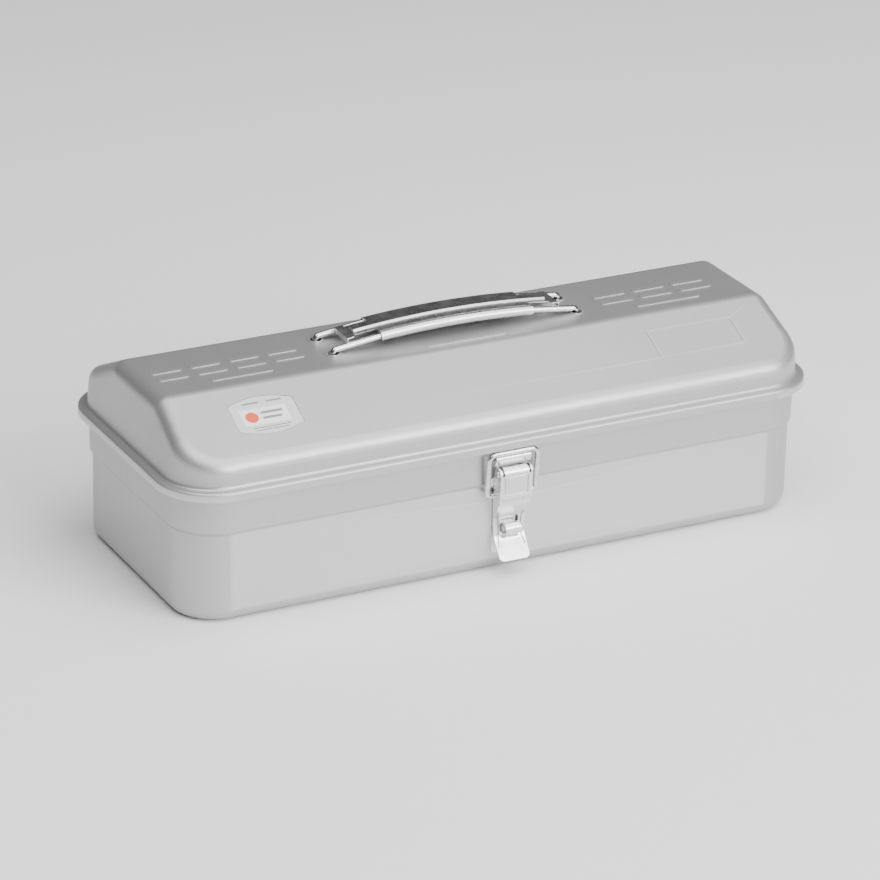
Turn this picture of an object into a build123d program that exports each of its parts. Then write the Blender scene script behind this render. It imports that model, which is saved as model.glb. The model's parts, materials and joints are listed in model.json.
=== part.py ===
from build123d import *
import math
import os

# One-piece pressed-steel hand tool box with a hipped lid.
# Millimetres. Origin: centre of the underside. +X to the right seen from the latch,
# the latch side faces -Y, +Z up. Lid closed, latch closed, handle down.

# ---- driving dimensions -------------------------------------------------------------
RIM_LENGTH = 359.0          # over the lid's skirt
RIM_DEPTH = 150.0
SHEET = 0.75                # tub and lid sheet
BAND_LENGTH = 348.1         # upper band of the tub wall
BAND_DEPTH = 139.1
BAND_CORNER = 25.0
STEP_INSET = 1.4            # the lower tub is this much smaller all round
STEP_LOW = 46.6
STEP_HIGH = 48.6
BOTTOM_RADIUS = 7.0
TUB_TOP = 70.8
HEM_REACH = 0.85            # doubled sheet of the tub's hemmed rim, outside the band
HEM_DROP = 3.0

LID_LENGTH = 349.7
LID_DEPTH = 140.7
LID_CORNER = 25.4           # at the flange
LID_CORNER_TOP = 20.0       # at the top, where the ends have drawn in
END_LEAN = 4.5              # each end leans in by this much from flange to top
RIM_CORNER = 30.05
SKIRT_BOTTOM = 67.5
FLANGE_TOP = 71.9
SHOULDER_Z = 83.9
LID_TOP = 105.07
TOP_HALF = 26.1             # half depth of the flat top
RIDGE_RADIUS = 8.0
END_RADIUS = 8.0
SKIRT_EDGE_RADIUS = 1.2
FLANGE_FILLET = 1.5

# handle
WIRE_Y = 10.0               # the two legs of each loop
LOOP_WIRE_R = 1.6
LOOP_PIVOT_X = 68.5
LOOP_PIVOT_Z = 102.4
LOOP_KNEE_Z = 107.0
MOUTH_X = 42.5              # where a leg enters the grip's rolled edge
LOOP_TIP_X = 35.8
HOLE_R = 3.0
GRIP_ARC = 500.0            # radius of the grip's long curve
GRIP_ROLL_TOP = 112.0       # height of the rolled edge's centre line at mid length
ROLL_OUTER = 2.6
ROLL_SLOT_LONG = 7.5        # the roll is open underneath over this length at each end
ROLL_SLOT_WIDE = 3.9
GRIP_SHEET = 0.55
GRIP_END_X = 59.5
GRIP_WEB_RISE = 2.325       # web centre above the roll's centre; flush with the roll's top
BEAD_HALF = 3.2
BEAD_RISE = 1.0
BEAD_END_X = 53.5
WEB_HALF = 9.5              # the web ends in the rolled edges
NOTCH_Y = 5.9
GRIP_END_Y = 8.0
END_FLAP = 2.0            # turned-down height at the grip's ends

# latch
PIVOT_Y = -74.5
PIVOT_Z = 55.0
PIVOT_PIN_R = 1.3
PIVOT_HEAD_R = 1.75
LEVER_R = 3.2               # lever's rolled top, about the pivot
LEVER_SHEET = 0.8
LEVER_HALF = 8.9
EAR_SHEET = 0.8
EAR_GAP = 0.35              # ear to lever, each side
NECK_Y = -70.9
TAB_Y = -79.0
TAB_Z = 8.9
PANEL_HALF = 6.6            # line pressed round the lever's flat panel
PANEL_LOW = 44.2
PANEL_HIGH = 54.2
PANEL_LINE = 0.6
PANEL_DEPTH = 0.35
WINDOW_LOW = 18.4
WINDOW_HIGH = 29.8
WINDOW_HALF = 5.05
BAIL_Y = -72.0
BAIL_Z = 42.8
BAIL_BAR_Y = -74.0
BAIL_BAR_Z = 65.6
BAIL_WIRE_R = 1.3
BAIL_HALF = 13.4            # legs' centre lines
PLATE_SHEET = 1.0
PLATE_TOP = 57.2
PLATE_BOTTOM = 10.2
STAPLE_Y = -73.2
STAPLE_Z = 24.0
STAPLE_BORE_R = 2.3
STAPLE_SHEET = 0.9
STAPLE_HALF = 4.2
LATCH_RIVET_R = 1.6
LATCH_RIVET_HEAD_R = 2.6
LATCH_RIVET_HEAD = 0.7
LATCH_RIVET_LOW_Z = 15.0
LATCH_RIVET_HIGH_Z = 36.5
CATCH_SHEET = 1.0
CATCH_HALF_TOP = 9.2
CATCH_HALF_LOW = 10.0

# hinges
HINGE_X = 112.0
HINGE_Y = 77.2
HINGE_Z = 68.4
HINGE_PIN_R = 1.2
HINGE_SHEET = 1.0
HINGE_HALF = 15.0
KNUCKLE_R = 2.2
CENTRE_KNUCKLE_HALF = 4.8
KNUCKLE_GAP = 0.4
HINGE_RIVET_R = 1.5
HINGE_RIVET_HEAD_R = 2.6
HINGE_RIVET_HEAD = 0.7
HINGE_TUB_RIVET_Z = 58.5
HINGE_LID_RIVET_Z = 76.2
HINGE_RIVET_X = 9.0
TUB_LEAF_BOTTOM = 53.0
LID_LEAF_TOP = 78.8

RUNNING = 0.05              # radial clearance of pins

# pressed details of the lid
PRESS = 0.35                # height or depth of every pressed detail
LABEL_X = -121.3
LABEL_SLOPE = 21.35         # distance down the slope from the top's front edge
LABEL_LONG = 34.6
LABEL_HIGH = 24.3
LABEL_ARCH = 3.8            # rise of the label's curved long sides
LABEL_GAP = 0.3             # label to the edge of its recess
LABEL_THICK = 0.25
FRAME_X = 118.8             # plain raised rectangle on the front slope
FRAME_SLOPE = 21.5
FRAME_LONG = 49.6
FRAME_HIGH = 19.0
FRAME_LINE = 1.1
RIB_WIDTH = 3.0
THIN_RIB_WIDTH = 1.8
LIP_WIDTH = 1.0             # raised lip round each handle hole
LIP_HEIGHT = 0.4
DIMPLE_R = 2.0              # spot weld marks on the skirt above the latch
DIMPLE_DEPTH = 0.2
DIMPLE_Z = 69.5
DIMPLE_X = (-7.6, 2.3, 7.9)

BAND_FRONT = -BAND_DEPTH / 2
LOWER_FRONT = BAND_FRONT + STEP_INSET
SLOPE_ANGLE = math.degrees(math.atan2(LID_TOP - SHOULDER_Z, LID_DEPTH / 2 - TOP_HALF))


# ---- general helpers ----------------------------------------------------------------
def rounded_prism(length, depth, corner, low, high):
    """Upright prism with rounded vertical corners."""
    return Pos(0, 0, low) * extrude(RectangleRounded(length, depth, corner), high - low)


def box_between(x0, x1, y0, y1, z0, z1):
    """Box from its two opposite corners."""
    return Pos((x0 + x1) / 2, (y0 + y1) / 2, (z0 + z1) / 2) * Box(x1 - x0, y1 - y0, z1 - z0)


def rod(start, end, radius):
    """Round bar between two points."""
    axis = Vector(*end) - Vector(*start)
    return extrude(Plane(origin=start, z_dir=axis) * Circle(radius), axis.length)


def side_face(sketch, half_width, x_mid=0.0):
    """Extrude a (y, z) sketch to both sides of x_mid."""
    return Pos(x_mid, 0, 0) * extrude(Plane.YZ * sketch, amount=half_width, both=True)


def bent_strip(points, bends, thickness, half_width, x_mid=0.0):
    """Sheet strip bent along a (y, z) centre line."""
    if bends:
        line = FilletPolyline(*points, radius=bends)
    else:
        line = Polyline(*points)
    return side_face(trace(line, line_width=thickness), half_width, x_mid)


def front_view(sketch, y0, y1):
    """Extrude an (x, z) sketch from y0 to y1."""
    plane = Plane(origin=(0, y1, 0), x_dir=(1, 0, 0), z_dir=(0, -1, 0))
    return extrude(plane * sketch, amount=y1 - y0)


def wire_along(points, bends, radius):
    """Round wire along straight runs joined by arcs."""
    path = FilletPolyline(*points, radius=bends)
    return sweep(Plane(origin=path @ 0, z_dir=path % 0) * Circle(radius), path=path)


# ---- tub ----------------------------------------------------------------------------
def tub_block(inset, floor_z, top_z):
    """Solid block of the tub's outside, moved in by inset, with its rounded bottom edge."""
    low_l = BAND_LENGTH - 2 * (STEP_INSET + inset)
    low_d = BAND_DEPTH - 2 * (STEP_INSET + inset)
    low_r = BAND_CORNER - STEP_INSET - inset
    top_l = BAND_LENGTH - 2 * inset
    top_d = BAND_DEPTH - 2 * inset
    top_r = BAND_CORNER - inset
    lower = rounded_prism(low_l, low_d, low_r, floor_z, STEP_LOW)
    bottom_edges = lower.edges().group_by(Axis.Z)[0]
    lower = fillet(bottom_edges, BOTTOM_RADIUS - inset)
    step = loft(
        [
            Pos(0, 0, STEP_LOW) * RectangleRounded(low_l, low_d, low_r),
            Pos(0, 0, STEP_HIGH) * RectangleRounded(top_l, top_d, top_r),
        ],
        ruled=True,
    )
    band = rounded_prism(top_l, top_d, top_r, STEP_HIGH, top_z)
    return lower + step + band


def ring(outer_l, outer_d, outer_r, wall, low, high):
    """Upright band of sheet round a rounded rectangle."""
    outer = rounded_prism(outer_l, outer_d, outer_r, low, high)
    inner = rounded_prism(outer_l - 2 * wall, outer_d - 2 * wall, outer_r - wall, low - 1, high + 1)
    return outer - inner


def make_tub():
    """Deep-drawn tub: rounded bottom edge, stepped band, doubled hem under the lid's flange."""
    shell = tub_block(0.0, 0.0, TUB_TOP) - tub_block(SHEET, SHEET, TUB_TOP + 1)
    rim_l = BAND_LENGTH + 2 * HEM_REACH
    rim_d = BAND_DEPTH + 2 * HEM_REACH
    rim_r = BAND_CORNER + HEM_REACH
    tub = shell + ring(rim_l, rim_d, rim_r, HEM_REACH + SHEET / 2, TUB_TOP - HEM_DROP, TUB_TOP)
    for x, z in latch_rivet_places():
        tub -= rod((x, LOWER_FRONT - 2, z), (x, LOWER_FRONT + 3, z), LATCH_RIVET_R)
    for x, y, z in hinge_rivet_places(HINGE_TUB_RIVET_Z, BAND_DEPTH / 2):
        tub -= rod((x, y - 3, z), (x, y + 2, z), HINGE_RIVET_R)
    return tub


# ---- lid ----------------------------------------------------------------------------
def hip_block(inset, low):
    """Solid of the lid's outside, moved in by inset: flat top, two slopes, ends that lean in."""
    length = LID_LENGTH - 2 * inset
    depth = LID_DEPTH - 2 * inset
    slope = math.radians(SLOPE_ANGLE)
    top = LID_TOP - inset
    half_top = TOP_HALF - inset * math.tan(slope / 2)
    reach = depth / 2 + 2
    reach_z = top - (reach - half_top) * math.tan(slope)
    section = Polyline(
        (-reach, low), (-reach, reach_z), (-half_top, top), (half_top, top), (reach, reach_z), (reach, low),
        close=True,
    )
    roof = side_face(make_face(section), length)
    rise = LID_TOP - FLANGE_TOP
    ends = []
    for z in (low, LID_TOP + 5):
        share = (z - FLANGE_TOP) / rise
        corner = LID_CORNER + share * (LID_CORNER_TOP - LID_CORNER) - inset
        outline = RectangleRounded(length - 2 * share * END_LEAN, depth, max(corner, 0.8))
        ends.append(Pos(0, 0, z) * outline)
    block = loft(ends, ruled=True) & roof
    ridges = [e for e in block.edges().filter_by(Axis.X) if e.center().Z > top - 0.01]
    block = fillet(ridges, RIDGE_RADIUS - inset)
    rim = [
        e for e in block.edges()
        if e.center().Z > SHOULDER_Z - inset - 0.5 and not ridge_seam(e, top)
    ]
    return fillet(rim, END_RADIUS - inset)


def ridge_seam(edge, top):
    """True for the long lines where the rounded ridges meet the flat faces."""
    box = edge.bounding_box()
    return box.size.X > 100 and box.min.Z > SHOULDER_Z + 3


def handle_hole_places():
    """Centres of the four holes that the handle loops pass through."""
    return [(sx * (LOOP_PIVOT_X - 0.1), sy * WIRE_Y) for sx in (-1, 1) for sy in (-1, 1)]


def slope_plane(x, distance):
    """Plane on the lid's front slope, z outwards, x to the right, y up the slope."""
    a = math.radians(SLOPE_ANGLE)
    y = -TOP_HALF - distance * math.cos(a)
    z = LID_TOP - distance * math.sin(a)
    return Plane(origin=(x, y, z), x_dir=(1, 0, 0), z_dir=(0, -math.sin(a), math.cos(a)))


def label_outline(grow):
    """Straight ends and arched long sides, grown by grow."""
    half_l = LABEL_LONG / 2 + grow
    half_h = LABEL_HIGH / 2 + grow
    end_h = half_h - LABEL_ARCH
    upper = ThreePointArc((-half_l, end_h), (0, half_h), (half_l, end_h))
    right = Line((half_l, end_h), (half_l, -end_h))
    lower = ThreePointArc((half_l, -end_h), (0, -half_h), (-half_l, -end_h))
    left = Line((-half_l, -end_h), (-half_l, end_h))
    return make_face(upper + right + lower + left)


def frame_outline():
    """Plain rectangular line with rounded corners."""
    outer = RectangleRounded(FRAME_LONG, FRAME_HIGH, 1.5)
    return outer - RectangleRounded(FRAME_LONG - 2 * FRAME_LINE, FRAME_HIGH - 2 * FRAME_LINE, 0.6)


def raised(lid, plane, face):
    """Press a face of the sheet outwards; the sheet keeps its thickness."""
    under = plane.offset(-SHEET)
    return lid + extrude(plane * face, amount=PRESS) - extrude(under * face, amount=PRESS)


def sunk(lid, plane, face):
    """Press a face of the sheet inwards; the sheet keeps its thickness."""
    under = plane.offset(-SHEET)
    return lid + extrude(under * face, amount=-PRESS) - extrude(plane * face, amount=-PRESS)


def row_of_ribs(x0, x1, count, y, width):
    """Straight ribs with round ends, evenly spaced from x0 to x1."""
    gap = 4.0
    long = (x1 - x0 - gap * (count - 1)) / count
    centres = [x0 + long / 2 + i * (long + gap) for i in range(count)]
    return [Pos(x, y) * SlotOverall(long, width) for x in centres]


def top_ribs():
    """Plain ribs on the lid's flat top: two short rows near each end, one thin rib before each."""
    ribs = []
    for y in (-6.0, 3.0):
        ribs += row_of_ribs(-161.0, -82.0, 4, y, RIB_WIDTH)
        ribs += row_of_ribs(85.0, 150.0, 3, y, RIB_WIDTH)
    ribs += row_of_ribs(-137.0, -104.0, 1, -16.5, THIN_RIB_WIDTH)
    ribs += row_of_ribs(100.0, 137.0, 1, -16.5, THIN_RIB_WIDTH)
    ribs += row_of_ribs(-22.0, 22.0, 1, -21.0, THIN_RIB_WIDTH)
    return ribs


def make_lid():
    """Pressed lid: hipped top, outward flange and turned-down skirt."""
    shell = hip_block(0.0, FLANGE_TOP - SHEET) - hip_block(SHEET, FLANGE_TOP - SHEET - 1)
    skirt_r = RIM_CORNER
    skirt = rounded_prism(RIM_LENGTH, RIM_DEPTH, skirt_r, SKIRT_BOTTOM, FLANGE_TOP)
    skirt = fillet(skirt.edges().group_by(Axis.Z)[-1], SKIRT_EDGE_RADIUS)
    hollow = rounded_prism(
        RIM_LENGTH - 2 * SHEET, RIM_DEPTH - 2 * SHEET, skirt_r - SHEET, SKIRT_BOTTOM - 1, FLANGE_TOP - SHEET
    )
    opening = rounded_prism(
        LID_LENGTH - SHEET, LID_DEPTH - SHEET, LID_CORNER - SHEET / 2, SKIRT_BOTTOM - 1, FLANGE_TOP + 1
    )
    lid = shell + (skirt - hollow - opening)
    corner_edges = [
        e for e in lid.edges()
        if abs(e.center().Z - FLANGE_TOP) < 0.05 and on_lid_wall(e)
    ]
    lid = fillet(corner_edges, FLANGE_FILLET)
    top_plane = Plane(origin=(0, 0, LID_TOP), x_dir=(1, 0, 0), z_dir=(0, 0, 1))
    for rib in top_ribs():
        lid = raised(lid, top_plane, rib)
    lid = raised(lid, slope_plane(FRAME_X, FRAME_SLOPE), frame_outline())
    lid = sunk(lid, slope_plane(LABEL_X, LABEL_SLOPE), label_outline(0.0))
    for x in DIMPLE_X:
        centre_y = -RIM_DEPTH / 2 - DIMPLE_R + DIMPLE_DEPTH
        lid -= Pos(x, centre_y, DIMPLE_Z) * Sphere(DIMPLE_R)
    for x, y in handle_hole_places():
        lid += rod((x, y, LID_TOP - SHEET / 2), (x, y, LID_TOP + LIP_HEIGHT), HOLE_R + LIP_WIDTH)
        lid -= rod((x, y, LID_TOP - 6), (x, y, LID_TOP + 3), HOLE_R)
    for x, y, z in hinge_rivet_places(HINGE_LID_RIVET_Z, LID_DEPTH / 2):
        lid -= rod((x, y - 3, z), (x, y + 2, z), HINGE_RIVET_R)
    return lid


def on_lid_wall(edge):
    """True for edges on the foot of the lid's upright wall."""
    middle = edge @ 0.5
    box = edge.bounding_box()
    at_wall = abs(abs(middle.Y) - LID_DEPTH / 2) < 0.2 or abs(abs(middle.X) - LID_LENGTH / 2) < 0.2
    corner_reach = LID_CORNER * (1 - math.sqrt(0.5))
    at_corner = abs(abs(middle.X) - (LID_LENGTH / 2 - corner_reach)) < 0.3
    at_corner = at_corner and abs(abs(middle.Y) - (LID_DEPTH / 2 - corner_reach)) < 0.3
    return (at_wall or at_corner) and box.size.Z < 0.01


# ---- handle -------------------------------------------------------------------------
def roll_height(x):
    """Height of the rolled edge's centre line at x."""
    return GRIP_ROLL_TOP - GRIP_ARC + math.sqrt(GRIP_ARC ** 2 - x ** 2)


def arched(section, half_length):
    """Sweep a (y, z) section, drawn about the roll's centre, along the grip's long curve."""
    centre_z = GRIP_ROLL_TOP - GRIP_ARC
    angle = math.degrees(math.asin(half_length / GRIP_ARC))
    axis = Axis((0, 0, centre_z), (0, 1, 0))
    plane = Plane(origin=(0, 0, GRIP_ROLL_TOP), x_dir=(0, 1, 0), z_dir=(1, 0, 0))
    half = revolve(plane * section, axis=axis, revolution_arc=angle)
    return half + mirror(half, about=Plane.YZ)


def flat_section(half):
    """Flat web of the grip."""
    return Pos(0, GRIP_WEB_RISE) * Rectangle(2 * half, GRIP_SHEET)


def bead_section():
    """Raised middle bead of the web, with its feet in the web."""
    z = GRIP_WEB_RISE
    points = [
        (-BEAD_HALF - 1, z), (-BEAD_HALF, z), (1 - BEAD_HALF, z + BEAD_RISE),
        (BEAD_HALF - 1, z + BEAD_RISE), (BEAD_HALF, z), (BEAD_HALF + 1, z),
    ]
    return trace(FilletPolyline(*points, radius=0.6), line_width=GRIP_SHEET)


def grip_outline():
    """Plan of the grip's web: full width in the middle, notched sides, wider ends."""
    corners = [
        (0, WEB_HALF), (MOUTH_X, WEB_HALF), (MOUTH_X, NOTCH_Y), (GRIP_END_X - 5.0, NOTCH_Y),
        (GRIP_END_X - 3.6, GRIP_END_Y), (GRIP_END_X, GRIP_END_Y),
    ]
    right = corners + [(x, -y) for x, y in reversed(corners)]
    left = [(-x, -y) for x, y in right]
    return make_face(Polyline(*right[1:-1], *left[1:-1], close=True))


def roll_section(side):
    """Rolled long edge of the grip, open on its inner lower side."""
    tube = Circle(ROLL_OUTER) - Circle(ROLL_OUTER - GRIP_SHEET)
    gap = Pos(-side * 1.6, -0.6) * Rectangle(2.4, 1.6)
    return Pos(side * WIRE_Y, 0) * (tube - gap)


def make_grip():
    """Sheet grip: arched web with a bead, both long edges rolled, ends turned down."""
    plan = Pos(0, 0, 90) * extrude(grip_outline(), 40)
    grip = arched(flat_section(WIRE_Y + 1), GRIP_END_X + 1) & plan
    grip -= arched(flat_section(BEAD_HALF), BEAD_END_X)
    grip += arched(bead_section(), BEAD_END_X)
    grip += arched(roll_section(1), MOUTH_X)
    grip += arched(roll_section(-1), MOUTH_X)
    for side in (-1, 1):
        under = Pos(side * WIRE_Y, -ROLL_OUTER) * Rectangle(ROLL_SLOT_WIDE, 2 * ROLL_OUTER)
        grip -= arched(under, MOUTH_X + 1) - arched(under, MOUTH_X - ROLL_SLOT_LONG)
    top = roll_height(GRIP_END_X) + GRIP_WEB_RISE
    for side in (-1, 1):
        x_a, x_b = sorted((side * GRIP_END_X, side * (GRIP_END_X - GRIP_SHEET)))
        grip += box_between(x_a, x_b, -GRIP_END_Y, GRIP_END_Y, top - END_FLAP, top)
    return grip


def make_loop(side):
    """Wire loop: cross-bar under the lid, two legs up through the lid and into the grip."""
    x_bar = side * LOOP_PIVOT_X
    x_mouth = side * (MOUTH_X + 0.6)
    x_tip = side * LOOP_TIP_X
    leg = [
        (x_tip, roll_height(LOOP_TIP_X)), (x_mouth, roll_height(MOUTH_X + 0.6)),
        (x_bar, LOOP_KNEE_Z), (x_bar, LOOP_PIVOT_Z),
    ]
    points = [(x, -WIRE_Y, z) for x, z in leg] + [(x, WIRE_Y, z) for x, z in reversed(leg)]
    return wire_along(points, [6.0, 2.2, 2.4, 2.4, 2.2, 6.0], LOOP_WIRE_R)


def make_bracket(side):
    """Saddle under the lid that carries a loop's cross-bar."""
    x = side * LOOP_PIVOT_X
    under_lid = LID_TOP - SHEET
    plate = 0.8
    mid_r = LOOP_WIRE_R + RUNNING + plate / 2
    foot_z = under_lid - plate / 2
    right = Line((mid_r, 0), (mid_r, foot_z - LOOP_PIVOT_Z))
    cradle = CenterArc((0, 0), mid_r, 180, 180)
    left = Line((-mid_r, 0), (-mid_r, foot_z - LOOP_PIVOT_Z))
    foot = 7.0
    feet = [
        Line((sx * (mid_r - plate / 2), foot_z - LOOP_PIVOT_Z), (sx * (mid_r + foot), foot_z - LOOP_PIVOT_Z))
        for sx in (-1, 1)
    ]
    section = trace(right, plate) + trace(cradle, plate) + trace(left, plate)
    section += trace(feet[0], plate) + trace(feet[1], plate)
    plane = Plane(origin=(x, 0, LOOP_PIVOT_Z), x_dir=(1, 0, 0), z_dir=(0, -1, 0))
    return extrude(plane * section, amount=5.5, both=True)


# ---- latch --------------------------------------------------------------------------

def latch_rivet_places():
    """Rivets of the latch's base plate, hidden behind the lever."""
    return [(0.0, LATCH_RIVET_HIGH_Z), (0.0, LATCH_RIVET_LOW_Z)]


def make_latch_base():
    """Base plate with two pivot ears and a curled padlock staple."""
    low_y = LOWER_FRONT - PLATE_SHEET / 2
    high_y = BAND_FRONT - PLATE_SHEET / 2
    path = [(low_y, PLATE_BOTTOM), (low_y, STEP_LOW - 1.6), (high_y, STEP_HIGH - 1.2), (high_y, PLATE_TOP)]
    plate = bent_strip(path, None, PLATE_SHEET, 12.0)
    outline = Polyline(
        (-9.0, PLATE_BOTTOM), (9.0, PLATE_BOTTOM), (9.6, 38), (11.2, 44), (11.2, 50), (7.8, 53),
        (7.8, PLATE_TOP), (-7.8, PLATE_TOP), (-7.8, 53), (-11.2, 50), (-11.2, 44), (-9.6, 38), close=True,
    )
    face = make_face(outline)
    face = fillet([v for v in face.vertices() if v.Y >= PLATE_BOTTOM + 1], 0.8)
    face = fillet([v for v in face.vertices() if v.Y < PLATE_BOTTOM + 1], 2.5)
    plate = plate & front_view(face, -80, -60)
    ear_side = LEVER_HALF - LEVER_SHEET - EAR_GAP
    for side in (-1, 1):
        profile = make_hull(
            [
                *(Pos(PIVOT_Y, PIVOT_Z) * Circle(2.1)).edges(),
                *(Pos(high_y, 52.6) * Rectangle(0.9, 9.0)).edges(),
            ]
        )
        plate += side_face(profile, EAR_SHEET / 2, side * (ear_side - EAR_SHEET / 2))
    plate -= rod((-20, PIVOT_Y, PIVOT_Z), (20, PIVOT_Y, PIVOT_Z), PIVOT_PIN_R)
    for x, z in latch_rivet_places():
        plate -= rod((x, -80, z), (x, -60, z), LATCH_RIVET_R)
    mid_r = STAPLE_BORE_R + STAPLE_SHEET / 2
    curl = trace(CenterArc((STAPLE_Y, STAPLE_Z), mid_r, -90, 330), STAPLE_SHEET)
    foot = Line((STAPLE_Y, STAPLE_Z - mid_r), (low_y, STAPLE_Z - mid_r))
    staple = side_face(curl + trace(foot, STAPLE_SHEET), STAPLE_HALF)
    return plate + staple


def make_latch_rivets():
    """Rivets that hold the base plate to the tub wall."""
    rivets = []
    outer = LOWER_FRONT - PLATE_SHEET
    inner = LOWER_FRONT + SHEET
    for x, z in latch_rivet_places():
        body = rod((x, outer, z), (x, inner, z), LATCH_RIVET_R)
        body += rod((x, outer - LATCH_RIVET_HEAD, z), (x, outer, z), LATCH_RIVET_HEAD_R)
        body += rod((x, inner, z), (x, inner + LATCH_RIVET_HEAD, z), LATCH_RIVET_HEAD_R)
        rivets.append(body)
    return Compound(children=rivets)


def lever_profile(thickness, depth):
    """(y, z) section of the lever's front sheet; depth moves the line in from the outer face."""
    front = PIVOT_Y - LEVER_R + depth
    line = FilletPolyline(
        (front, PIVOT_Z), (front, 41.0), (NECK_Y + depth, 29.4), (NECK_Y + depth, 19.6),
        (TAB_Y + depth * 0.7, TAB_Z),
        radius=[15.0, 5.0, 9.0],
    )
    roll = CenterArc((PIVOT_Y, PIVOT_Z), LEVER_R - depth, 60, 120)
    return trace(line, thickness) + trace(roll, thickness)


def lever_outline():
    """(x, z) outline of the lever."""
    w = LEVER_HALF
    face = make_face(
        Polyline(
            (-8.3, TAB_Z - 2), (8.3, TAB_Z - 2), (w - 0.4, 20), (w, 41), (w, 62), (-w, 62), (-w, 41),
            (0.4 - w, 20), close=True,
        )
    )
    return face


def make_lever():
    """Pressed lever: rolled top, side flanges, lined panel, window for the staple, grooved neck, tab."""
    sheet = side_face(lever_profile(LEVER_SHEET, LEVER_SHEET / 2), 12)
    lever = sheet & front_view(lever_outline(), -90, -60)
    low_corners = [
        e for e in lever.edges() if e.center().Z < TAB_Z + 2 and abs(e.center().X) > 8 and e.length < 1.6
    ]
    lever = fillet(low_corners, 2.6)
    flange = make_face(
        Polyline(
            (PIVOT_Y - LEVER_R + 0.3, PIVOT_Z), (PIVOT_Y - LEVER_R + 0.3, 41.2), (NECK_Y + 0.5, 29.2),
            (NECK_Y + 0.3, 24.0), (-69.75, 24.0), (-69.75, 42.2), (-70.9, 45.0), (-70.9, 53.5),
            (PIVOT_Y + 3.0, PIVOT_Z + 0.9), (PIVOT_Y + 1.5, PIVOT_Z + 2.75), (PIVOT_Y, PIVOT_Z + 2.9),
            (PIVOT_Y - 2.0, PIVOT_Z + 2.1), close=True,
        )
    )
    for side in (-1, 1):
        cheek = side_face(flange, LEVER_SHEET / 2, side * (LEVER_HALF - LEVER_SHEET / 2))
        lever += cheek & front_view(lever_outline(), -90, -60)
    panel_x, panel_low, panel_high = PANEL_HALF, PANEL_LOW, PANEL_HIGH
    panel = Pos(0, (panel_low + panel_high) / 2) * (
        RectangleRounded(2 * panel_x, panel_high - panel_low, 1.0)
        - RectangleRounded(2 * (panel_x - PANEL_LINE), panel_high - panel_low - 2 * PANEL_LINE, 0.5)
    )
    lever -= front_view(panel, PIVOT_Y - LEVER_R - 1, PIVOT_Y - LEVER_R + PANEL_DEPTH)
    opening = RectangleRounded(2 * WINDOW_HALF, WINDOW_HIGH - WINDOW_LOW, 1.0)
    lever -= front_view(Pos(0, (WINDOW_LOW + WINDOW_HIGH) / 2) * opening, -90, -60)
    skin = side_face(lever_profile(0.9, 0.0), 12)
    for side in (-1, 1):
        arc = ThreePointArc((side * 7.2, 31.5), (side * 6.1, 24.6), (side * 7.4, 15.0))
        lever -= skin & front_view(trace(arc, 0.8), -90, -60)
    slot_outer = LEVER_HALF - LEVER_SHEET
    slot_inner = slot_outer - EAR_SHEET - 2 * EAR_GAP
    for side in (-1, 1):
        x_a, x_b = sorted((side * slot_inner, side * slot_outer))
        lever -= box_between(x_a, x_b, PIVOT_Y - LEVER_R - 1, NECK_Y + 2, PIVOT_Z - 0.4, PIVOT_Z + 6)
    lever -= rod((-20, PIVOT_Y, PIVOT_Z), (20, PIVOT_Y, PIVOT_Z), PIVOT_PIN_R + RUNNING)
    lever -= rod((-20, BAIL_Y, BAIL_Z), (20, BAIL_Y, BAIL_Z), BAIL_WIRE_R + RUNNING)
    return lever


def make_pivot_rivet():
    """Rivet through the ears and the lever's cheeks."""
    half = LEVER_HALF + 0.1
    rivet = rod((-half, PIVOT_Y, PIVOT_Z), (half, PIVOT_Y, PIVOT_Z), PIVOT_PIN_R)
    for side in (-1, 1):
        head = rod((side * half, PIVOT_Y, PIVOT_Z), (side * (half + 0.9), PIVOT_Y, PIVOT_Z), PIVOT_HEAD_R)
        rim = [e for e in head.edges() if abs(e.center().X) > half + 0.8]
        rivet += fillet(rim, 0.7)
    return rivet


def make_bail():
    """Wire bail: top bar, two legs, ends turned in to the lever's cheeks."""
    end = LEVER_HALF - LEVER_SHEET - 0.15
    half = BAIL_HALF
    points = [
        (-end, BAIL_Y, BAIL_Z), (-half, BAIL_Y, BAIL_Z), (-half, BAIL_BAR_Y, BAIL_BAR_Z),
        (half, BAIL_BAR_Y, BAIL_BAR_Z), (half, BAIL_Y, BAIL_Z), (end, BAIL_Y, BAIL_Z),
    ]
    return wire_along(points, [2.2, 3.6, 3.6, 2.2], BAIL_WIRE_R)


def make_catch():
    """Catch plate inside the lid's skirt with a rounded nose under the bail's bar."""
    inner_face = -(RIM_DEPTH / 2 - SHEET)
    top = inner_face + 0.5
    points = [
        (top, 70.6), (top, 68.4), (-71.4, 67.0), (-71.4, 63.9), (-74.4, 63.1), (-72.1, 58.6),
    ]
    plate = bent_strip(points, [0.9, 0.9, 0.6, 0.9], CATCH_SHEET, CATCH_HALF_LOW)
    top_half = CATCH_HALF_TOP
    low_half = CATCH_HALF_LOW
    outline = Polyline(
        (-top_half, 72), (top_half, 72), (top_half, 66), (low_half, 59), (-low_half, 59), (-top_half, 66),
        close=True,
    )
    return plate & front_view(make_face(outline), -80, -60)


# ---- hinges -------------------------------------------------------------------------

def hinge_rivet_places(z, y):
    """Two rivets for each of the two hinges."""
    return [(sx * HINGE_X + dx, y, z) for sx in (-1, 1) for dx in (-HINGE_RIVET_X, HINGE_RIVET_X)]


def knuckle(x0, x1):
    """Rolled barrel round the hinge pin."""
    return rod((x0, HINGE_Y, HINGE_Z), (x1, HINGE_Y, HINGE_Z), KNUCKLE_R)


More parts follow.
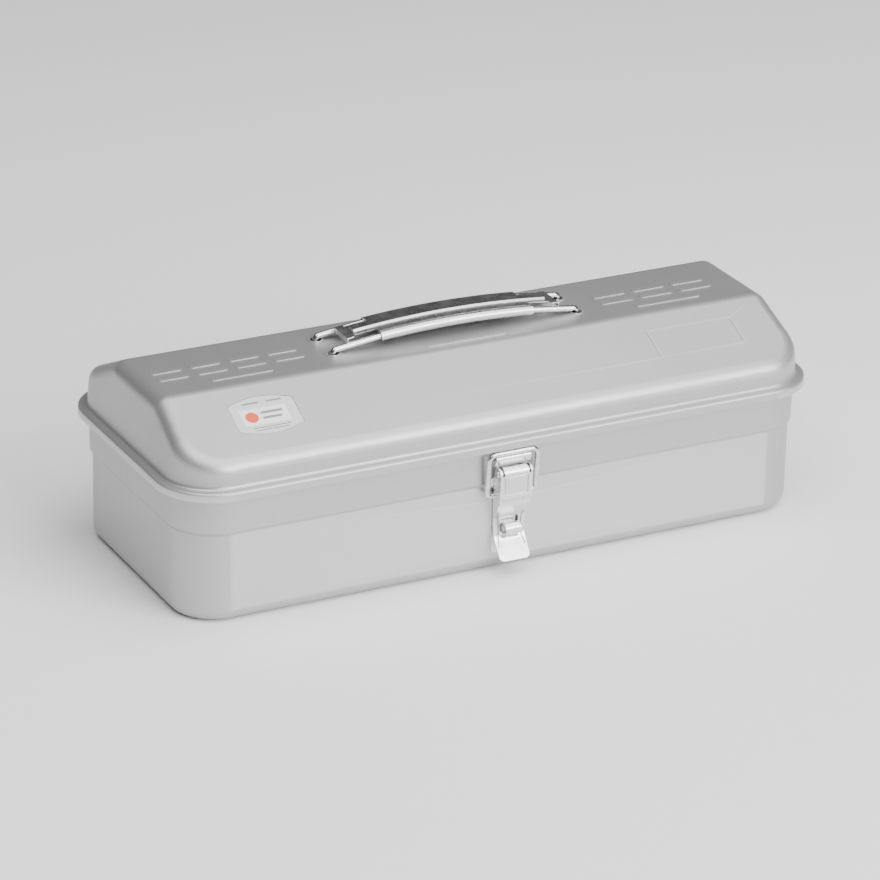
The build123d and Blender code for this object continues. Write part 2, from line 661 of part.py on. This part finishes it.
def make_tub_leaf(side):
    """Hinge leaf on the tub: plate, shelf under the skirt, two outer knuckles."""
    x = side * HINGE_X
    half = HINGE_SHEET / 2
    wall_y = BAND_DEPTH / 2 + half
    shelf_z = HINGE_Z - KNUCKLE_R + half
    plate = bent_strip(
        [(wall_y, TUB_LEAF_BOTTOM), (wall_y, shelf_z), (HINGE_Y, shelf_z)], [1.4], HINGE_SHEET, HINGE_HALF, x
    )
    middle = CENTRE_KNUCKLE_HALF + KNUCKLE_GAP
    plate -= box_between(x - middle, x + middle, HINGE_Y - KNUCKLE_R - 0.5, HINGE_Y + 5, 60, 75)
    leaf = plate
    leaf += knuckle(x - HINGE_HALF, x - middle)
    leaf += knuckle(x + middle, x + HINGE_HALF)
    leaf -= rod((x - 30, HINGE_Y, HINGE_Z), (x + 30, HINGE_Y, HINGE_Z), HINGE_PIN_R)
    for rx, ry, rz in hinge_rivet_places(HINGE_TUB_RIVET_Z, BAND_DEPTH / 2):
        leaf -= rod((rx, ry - 3, rz), (rx, ry + 3, rz), HINGE_RIVET_R)
    return leaf


def make_lid_leaf(side):
    """Hinge leaf on the lid: plate, finger over the flange, centre knuckle."""
    x = side * HINGE_X
    half = HINGE_SHEET / 2
    wall_y = LID_DEPTH / 2 + half
    foot_z = FLANGE_TOP + FLANGE_FILLET + 0.2 + half
    drop_y = HINGE_Y - KNUCKLE_R + half
    back = LID_DEPTH / 2
    leaf = box_between(
        x - HINGE_HALF, x + HINGE_HALF, back, back + HINGE_SHEET, foot_z - half, LID_LEAF_TOP
    )
    leaf += bent_strip(
        [(wall_y, LID_LEAF_TOP), (wall_y, foot_z), (drop_y, foot_z), (drop_y, HINGE_Z)], [0.6, 1.0],
        HINGE_SHEET, CENTRE_KNUCKLE_HALF, x
    )
    leaf += knuckle(x - CENTRE_KNUCKLE_HALF, x + CENTRE_KNUCKLE_HALF)
    leaf -= rod((x - 30, HINGE_Y, HINGE_Z), (x + 30, HINGE_Y, HINGE_Z), HINGE_PIN_R + RUNNING)
    for rx, ry, rz in hinge_rivet_places(HINGE_LID_RIVET_Z, LID_DEPTH / 2):
        leaf -= rod((rx, ry - 3, rz), (rx, ry + 3, rz), HINGE_RIVET_R)
    return leaf


def make_hinge_pin(side):
    """Pin held by the tub leaf's knuckles."""
    x = side * HINGE_X
    end = HINGE_HALF + 0.4
    return rod((x - end, HINGE_Y, HINGE_Z), (x + end, HINGE_Y, HINGE_Z), HINGE_PIN_R)


def make_hinge_rivets(z, wall_y):
    """Rivets through one pair of leaves and the wall behind them."""
    rivets = []
    outer = wall_y + HINGE_SHEET
    inner = wall_y - SHEET
    for x, _, rivet_z in hinge_rivet_places(z, wall_y):
        body = rod((x, inner, rivet_z), (x, outer, rivet_z), HINGE_RIVET_R)
        body += rod((x, outer, rivet_z), (x, outer + HINGE_RIVET_HEAD, rivet_z), HINGE_RIVET_HEAD_R)
        body += rod((x, inner - HINGE_RIVET_HEAD, rivet_z), (x, inner, rivet_z), HINGE_RIVET_HEAD_R)
        rivets.append(body)
    return Compound(children=rivets)


def make_label():
    """Thin printed plate lying in its recess on the front slope."""
    plane = slope_plane(LABEL_X, LABEL_SLOPE).offset(-PRESS)
    return extrude(plane * label_outline(-LABEL_GAP), amount=LABEL_THICK)


# ---- output -------------------------------------------------------------------------
def write(name, shape):
    """Write one node."""
    export_step(shape, os.path.join("parts", name + ".step"))


def main():
    os.makedirs("parts", exist_ok=True)
    write("tub", make_tub())
    write("lid", make_lid())
    write("handle_grip", make_grip())
    write("latch_base_plate", make_latch_base())
    write("latch_base_rivets", make_latch_rivets())
    write("latch_lever", make_lever())
    write("latch_pivot_rivet", make_pivot_rivet())
    write("latch_bail", make_bail())
    write("latch_catch_plate", make_catch())
    write("label_plate", make_label())
    write("hinge_tub_rivets", make_hinge_rivets(HINGE_TUB_RIVET_Z, BAND_DEPTH / 2))
    write("hinge_lid_rivets", make_hinge_rivets(HINGE_LID_RIVET_Z, LID_DEPTH / 2))
    for side, word in ((-1, "left"), (1, "right")):
        write("handle_loop_" + word, make_loop(side))
        write("handle_bracket_" + word, make_bracket(side))
        write("hinge_" + word + "_tub_leaf", make_tub_leaf(side))
        write("hinge_" + word + "_lid_leaf", make_lid_leaf(side))
        write("hinge_" + word + "_pin", make_hinge_pin(side))


main()
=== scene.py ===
import json
import math

import bpy
from mathutils import Matrix, Vector

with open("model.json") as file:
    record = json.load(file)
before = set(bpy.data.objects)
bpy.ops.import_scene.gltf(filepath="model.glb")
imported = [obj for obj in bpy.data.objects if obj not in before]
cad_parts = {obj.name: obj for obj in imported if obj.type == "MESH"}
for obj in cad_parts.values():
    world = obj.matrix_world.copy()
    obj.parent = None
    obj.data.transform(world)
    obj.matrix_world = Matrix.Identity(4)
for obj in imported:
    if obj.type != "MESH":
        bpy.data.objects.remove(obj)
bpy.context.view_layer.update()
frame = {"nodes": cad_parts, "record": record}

MM = 0.001

# ---- camera: place, turn and lens that give the photograph's view ---------------------
CAMERA_PLACE_MM = (-913.463, -1741.477, 899.216)
CAMERA_YAW = 27.613
CAMERA_PITCH = 23.545
CAMERA_ROLL = 1.266
CAMERA_LENS = 172.67
SENSOR = 36.0

# ---- label on the front slope, in millimetres ------------------------------------------
RIDGE_Y = -26.1
LID_TOP = 105.07
SLOPE_DEG = 25.57
PANEL = (-134.0, -109.5, 16.5, 27.0)
DISC_CENTRE = (-128.8, 21.9)
DISC_RADIUS = 3.4
# plain bars: x from, x to, distance down the slope from, to
BARS = (
    (-123.5, -112.0, 19.0, 20.6),
    (-123.5, -113.5, 22.4, 24.0),
    (-131.0, -122.0, 12.6, 13.6),
    (-118.0, -110.0, 12.6, 13.6),
    (-131.0, -111.0, 28.6, 29.2),
    (-130.0, -112.0, 30.2, 30.8),
)

# ---- stage: place, size and power of each light, place, turn and shade of each card ------
WORLD_STRENGTH = 0.12
LOOK_AT = (0.0, 0.0, 0.05)
LIGHTS = (
    ("overhead", (0.0, -0.35, 1.7), 2.6, 1.8, 54.0),
    ("front", (0.9, -2.3, 1.2), 2.2, 1.6, 104.0),
)
CARDS = (
    ("back_card", (1.2, 2.6, 1.5), -25.0, 0.10),
    ("left_card", (-1.7, 0.5, 1.5), 80.0, 0.04),
)


# ---- node helpers ----------------------------------------------------------------------
class Net:
    """Short way to build a material's nodes."""

    def __init__(self, name):
        self.mat = bpy.data.materials.new(name)
        self.mat.use_nodes = True
        self.nodes = self.mat.node_tree.nodes
        self.links = self.mat.node_tree.links
        self.nodes.clear()
        self.out = self.nodes.new("ShaderNodeOutputMaterial")
        self.bsdf = self.nodes.new("ShaderNodeBsdfPrincipled")
        self.links.new(self.bsdf.outputs[0], self.out.inputs[0])
        self.place = self.nodes.new("ShaderNodeTexCoord").outputs["Object"]

    def put(self, socket, value):
        """Link a socket's input, or set it to a constant."""
        if isinstance(value, bpy.types.NodeSocket):
            self.links.new(value, socket)
        else:
            socket.default_value = value

    def math(self, operation, a, b=0.0, clamp=False):
        node = self.nodes.new("ShaderNodeMath")
        node.operation = operation
        node.use_clamp = clamp
        self.put(node.inputs[0], a)
        self.put(node.inputs[1], b)
        return node.outputs[0]

    def dot(self, vector):
        node = self.nodes.new("ShaderNodeVectorMath")
        node.operation = "DOT_PRODUCT"
        self.put(node.inputs[0], self.place)
        node.inputs[1].default_value = vector
        return node.outputs["Value"]

    def noise(self, scale, detail=3.0, rough=0.55, stretch=(1.0, 1.0, 1.0)):
        mapping = self.nodes.new("ShaderNodeMapping")
        mapping.inputs["Scale"].default_value = stretch
        self.links.new(self.place, mapping.inputs["Vector"])
        node = self.nodes.new("ShaderNodeTexNoise")
        node.inputs["Scale"].default_value = scale
        node.inputs["Detail"].default_value = detail
        node.inputs["Roughness"].default_value = rough
        self.links.new(mapping.outputs[0], node.inputs["Vector"])
        return node.outputs[0]

    def ramp(self, factor, low, high, a, b):
        """Map factor from low..high to a..b."""
        node = self.nodes.new("ShaderNodeMapRange")
        self.put(node.inputs["Value"], factor)
        for key, value in (("From Min", low), ("From Max", high), ("To Min", a), ("To Max", b)):
            node.inputs[key].default_value = value
        return node.outputs[0]

    def mix(self, factor, a, b):
        node = self.nodes.new("ShaderNodeMix")
        node.data_type = "RGBA"
        self.put(node.inputs[0], factor)
        self.put(node.inputs[6], a)
        self.put(node.inputs[7], b)
        return node.outputs[2]

    def edge(self, low=0.52, high=0.60):
        """1 on raised edges, 0 on flats."""
        geometry = self.nodes.new("ShaderNodeNewGeometry")
        return self.ramp(geometry.outputs["Pointiness"], low, high, 0.0, 1.0)

    def bump(self, height, strength, distance):
        node = self.nodes.new("ShaderNodeBump")
        node.inputs["Strength"].default_value = strength
        node.inputs["Distance"].default_value = distance
        self.put(node.inputs["Height"], height)
        self.links.new(node.outputs[0], self.bsdf.inputs["Normal"])

    def set(self, **values):
        for key, value in values.items():
            self.put(self.bsdf.inputs[key.replace("_", " ")], value)


def tint(value, shade=(1.0, 1.0, 1.0)):
    """Grey of the given value, leaned towards shade."""
    return tuple(value * s for s in shade) + (1.0,)


COOL = (0.985, 0.98, 1.0)


def painted_steel():
    """Silver metallic enamel: fine flake, faint orange peel, brighter worn edges."""
    net = Net("silver_enamel")
    flake = net.noise(2600.0, 1.0, 0.5)
    cloud = net.noise(9.0, 4.0, 0.5)
    shade = net.mix(net.ramp(flake, 0.3, 0.7, 0.0, 1.0), tint(0.44, COOL), tint(0.53, COOL))
    shade = net.mix(net.ramp(cloud, 0.35, 0.65, 0.0, 0.35), shade, tint(0.46, COOL))
    shade = net.mix(net.math("MULTIPLY", net.edge(), 0.5), shade, tint(0.80, COOL))
    net.set(Base_Color=shade, Metallic=0.70)
    rough = net.ramp(cloud, 0.3, 0.7, 0.38, 0.46)
    net.set(Roughness=net.math("SUBTRACT", rough, net.math("MULTIPLY", net.edge(), 0.06)))
    net.bump(net.noise(900.0, 2.0, 0.5), 0.12, 0.00004)
    return net.mat


def plated_steel():
    """Bright pressed plate: fine rolling grain, light rubbing, brighter edges."""
    net = Net("plated_sheet")
    grain = net.noise(900.0, 3.0, 0.6, (1.0, 1.0, 0.06))
    rub = net.noise(120.0, 4.0, 0.6)
    shade = net.mix(net.ramp(grain, 0.3, 0.7, 0.0, 1.0), tint(0.60), tint(0.72))
    shade = net.mix(net.math("MULTIPLY", net.edge(), 0.7), shade, tint(0.88))
    net.set(Base_Color=shade, Metallic=1.0)
    net.set(Roughness=net.ramp(rub, 0.3, 0.7, 0.22, 0.36))
    net.bump(grain, 0.10, 0.00004)
    return net.mat


def plated_wire():
    """Bright nickel wire with faint drawing marks."""
    net = Net("plated_wire")
    marks = net.noise(1500.0, 2.0, 0.6, (0.08, 1.0, 1.0))
    spots = net.noise(260.0, 3.0, 0.6)
    shade = net.mix(net.ramp(spots, 0.35, 0.7, 0.0, 0.7), tint(0.76), tint(0.60))
    net.set(Base_Color=shade, Metallic=1.0)
    net.set(Roughness=net.ramp(marks, 0.3, 0.7, 0.14, 0.26))
    net.bump(marks, 0.08, 0.00003)
    return net.mat


def rivet_steel():
    """Bright rivet heads with random brighter and duller spots."""
    net = Net("rivet_metal")
    spots = net.noise(420.0, 3.0, 0.6)
    shade = net.mix(net.ramp(spots, 0.35, 0.65, 0.0, 1.0), tint(0.66), tint(0.78))
    net.set(Base_Color=shade, Metallic=1.0, Roughness=net.ramp(spots, 0.3, 0.7, 0.2, 0.34))
    net.bump(spots, 0.10, 0.00003)
    return net.mat


def box_mask(net, across, down, x0, x1, s0, s1):
    """1 inside a rectangle of the label's own coordinates, in millimetres."""
    inside = net.math("MULTIPLY", net.math("GREATER_THAN", across, x0), net.math("LESS_THAN", across, x1))
    low = net.math("MULTIPLY", net.math("GREATER_THAN", down, s0), net.math("LESS_THAN", down, s1))
    return net.math("MULTIPLY", inside, low)


def label_print():
    """Silver film with a white panel, a plain round mark and plain bars."""
    net = Net("label_print")
    a = math.radians(SLOPE_DEG)
    across = net.dot((1000.0, 0.0, 0.0))
    down = net.math(
        "SUBTRACT",
        net.dot((0.0, -1000.0 * math.cos(a), -1000.0 * math.sin(a))),
        -RIDGE_Y * math.cos(a) - LID_TOP * math.sin(a),
    )
    film = net.noise(700.0, 2.0, 0.5)
    shade = net.mix(net.ramp(film, 0.3, 0.7, 0.0, 1.0), tint(0.60), tint(0.68))
    ink = tint(0.24)
    panel = box_mask(net, across, down, *PANEL)
    shade = net.mix(panel, shade, tint(0.86))
    radius = net.math("SQRT", net.math(
        "ADD",
        net.math("POWER", net.math("SUBTRACT", across, DISC_CENTRE[0]), 2.0),
        net.math("POWER", net.math("SUBTRACT", down, DISC_CENTRE[1]), 2.0),
    ))
    disc = net.math("LESS_THAN", radius, DISC_RADIUS)
    shade = net.mix(disc, shade, (0.80, 0.10, 0.02, 1.0))
    for x0, x1, s0, s1 in BARS:
        shade = net.mix(box_mask(net, across, down, x0, x1, s0, s1), shade, ink)
    net.set(Base_Color=shade, Metallic=net.math("SUBTRACT", 0.7, net.math("MULTIPLY", panel, 0.7)))
    net.set(Roughness=net.ramp(film, 0.3, 0.7, 0.34, 0.42))
    net.bump(film, 0.06, 0.00002)
    return net.mat


# ---- pieces ----------------------------------------------------------------------------
def dress():
    """Give every CAD node its material."""
    looks = {
        "painted_steel": painted_steel(),
        "plated_steel": plated_steel(),
        "plated_wire": plated_wire(),
        "rivet_steel": rivet_steel(),
        "label": label_print(),
    }
    slots = {part["node"]: part["material_slot"] for part in frame["record"]["subparts"]}
    for name, obj in frame["nodes"].items():
        obj.data.materials.clear()
        obj.data.materials.append(looks[slots[name]])


# ---- stage -----------------------------------------------------------------------------
def plain(name, shade, rough):
    """Matt paper, very slightly uneven."""
    net = Net(name)
    speck = net.noise(40.0, 2.0, 0.5)
    net.set(Base_Color=net.mix(speck, tint(shade), tint(shade * 0.985)), Roughness=rough)
    return net.mat


def make_floor():
    """Wide pale floor under the box."""
    bpy.ops.mesh.primitive_plane_add(size=12.0, location=(0.0, 0.0, 0.0))
    floor = bpy.context.object
    floor.name = "floor"
    floor.data.materials.append(plain("floor_paper", 0.95, 0.9))


def area(name, place, target, size_x, size_y, power):
    """Soft light that points at target."""
    data = bpy.data.lights.new(name, "AREA")
    data.shape = "RECTANGLE"
    data.size = size_x
    data.size_y = size_y
    data.energy = power
    obj = bpy.data.objects.new(name, data)
    bpy.context.scene.collection.objects.link(obj)
    obj.location = place
    obj.rotation_euler = (Vector(target) - Vector(place)).to_track_quat("-Z", "Y").to_euler()


def make_lights():
    """Even studio surroundings and two soft lights."""
    world = bpy.data.worlds.new("studio")
    world.use_nodes = True
    back = world.node_tree.nodes["Background"]
    back.inputs[0].default_value = (0.90, 0.91, 0.94, 1.0)
    back.inputs[1].default_value = WORLD_STRENGTH
    bpy.context.scene.world = world
    for name, place, size_x, size_y, power in LIGHTS:
        area(name, place, LOOK_AT, size_x, size_y, power)


def card(name, place, turn_z, shade):
    """Dark upright card for the metal to reflect: outside the main view, but it blocks some others."""
    bpy.ops.mesh.primitive_plane_add(size=3.0, location=place, rotation=(math.radians(90), 0.0, turn_z))
    obj = bpy.context.object
    obj.name = name
    obj.data.materials.append(plain(name + "_paper", shade, 0.9))


def make_camera():
    """Camera at the photograph's place, turn and lens."""
    yaw = math.radians(CAMERA_YAW)
    pitch = math.radians(CAMERA_PITCH)
    roll = math.radians(CAMERA_ROLL)
    ahead = Vector((math.sin(yaw) * math.cos(pitch), math.cos(yaw) * math.cos(pitch), -math.sin(pitch)))
    right = Vector((math.cos(yaw), -math.sin(yaw), 0.0))
    up = right.cross(ahead)
    right_rolled = math.cos(roll) * right + math.sin(roll) * up
    up_rolled = -math.sin(roll) * right + math.cos(roll) * up
    data = bpy.data.cameras.new("camera")
    data.lens = CAMERA_LENS
    data.sensor_width = SENSOR
    data.clip_end = 50.0
    obj = bpy.data.objects.new("camera", data)
    bpy.context.scene.collection.objects.link(obj)
    turn = Matrix((right_rolled, up_rolled, -ahead)).transposed().to_4x4()
    obj.matrix_world = Matrix.Translation(Vector(CAMERA_PLACE_MM) * MM) @ turn
    bpy.context.scene.camera = obj


dress()
make_floor()
make_lights()
for card_name, card_place, card_turn, card_shade in CARDS:
    card(card_name, card_place, math.radians(card_turn), card_shade)
make_camera()
